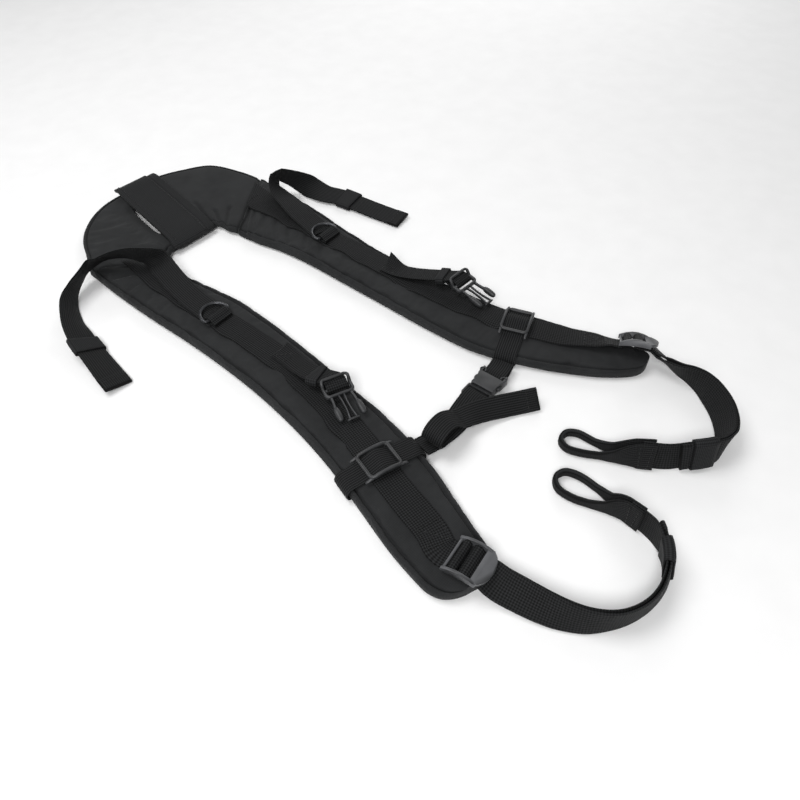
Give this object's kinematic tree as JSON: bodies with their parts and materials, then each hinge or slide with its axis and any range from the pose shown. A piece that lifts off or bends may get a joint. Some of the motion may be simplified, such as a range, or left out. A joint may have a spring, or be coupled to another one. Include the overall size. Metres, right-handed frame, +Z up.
{
  "type": "harness shoulder strap",
  "caption": "Padded shoulder harness: a neck yoke, arms with sewn webbing, D-rings, clips, a fastened chest strap, ladder locks and adjustable straps with sewn end loops.",
  "frame": {"origin": "middle of the box that holds the harness as it lies, on the surface below it", "axes": "+Z up from the surface, +Y along the arms towards the neck yoke, +X towards the wearer's left arm"},
  "size_m": [0.3734, 0.7044, 0.0416],
  "materials": {
    "cover": "matte black nylon cover",
    "elastic": "matte black woven band",
    "webbing": "black ribbed nylon webbing",
    "plastic": "black moulded acetal, satin",
    "wire": "black-coated steel wire, satin"
  },
  "bodies": {
    "harness": {"right_yoke": "cover", "left_yoke": "cover", "right_pad": "cover", "left_pad": "cover", "right_lifter_keeper": "elastic", "left_lifter_keeper": "elastic", "right_clip_sleeve": "elastic", "left_clip_sleeve": "elastic", "right_strap_keeper": "elastic", "left_strap_keeper": "elastic", "yoke_band": "elastic", "right_rail": "webbing", "left_rail": "webbing", "right_lifter": "webbing", "left_lifter": "webbing", "right_ring_tab": "webbing", "left_ring_tab": "webbing", "right_clip_strip": "webbing", "left_clip_strip": "webbing", "right_chest_loop": "webbing", "left_chest_loop": "webbing", "right_strap": "webbing", "left_strap": "webbing", "right_loop": "webbing", "left_loop": "webbing", "chest_strap": "webbing", "left_chest_strap": "webbing", "right_clip": "plastic", "left_clip": "plastic", "right_slider": "plastic", "left_slider": "plastic", "right_lock": "plastic", "left_lock": "plastic", "chest_plug": "plastic", "chest_socket": "plastic"},
    "right_d_ring": {"right_ring": "wire"},
    "left_d_ring": {"left_ring": "wire"}
  },
  "joints": [
    {"name": "right_ring_swing", "type": "hinge", "parent": "harness", "child": "right_d_ring", "pos_m": [-0.06716, 0.08943, 0.017], "axis": [0.9976, 0.0698, 0], "range_deg": [0, 150]},
    {"name": "left_ring_swing", "type": "hinge", "parent": "harness", "child": "left_d_ring", "pos_m": [0.08944, 0.10363, 0.017], "axis": [0.9986, 0.0523, 0], "range_deg": [0, 150]}
  ]
}
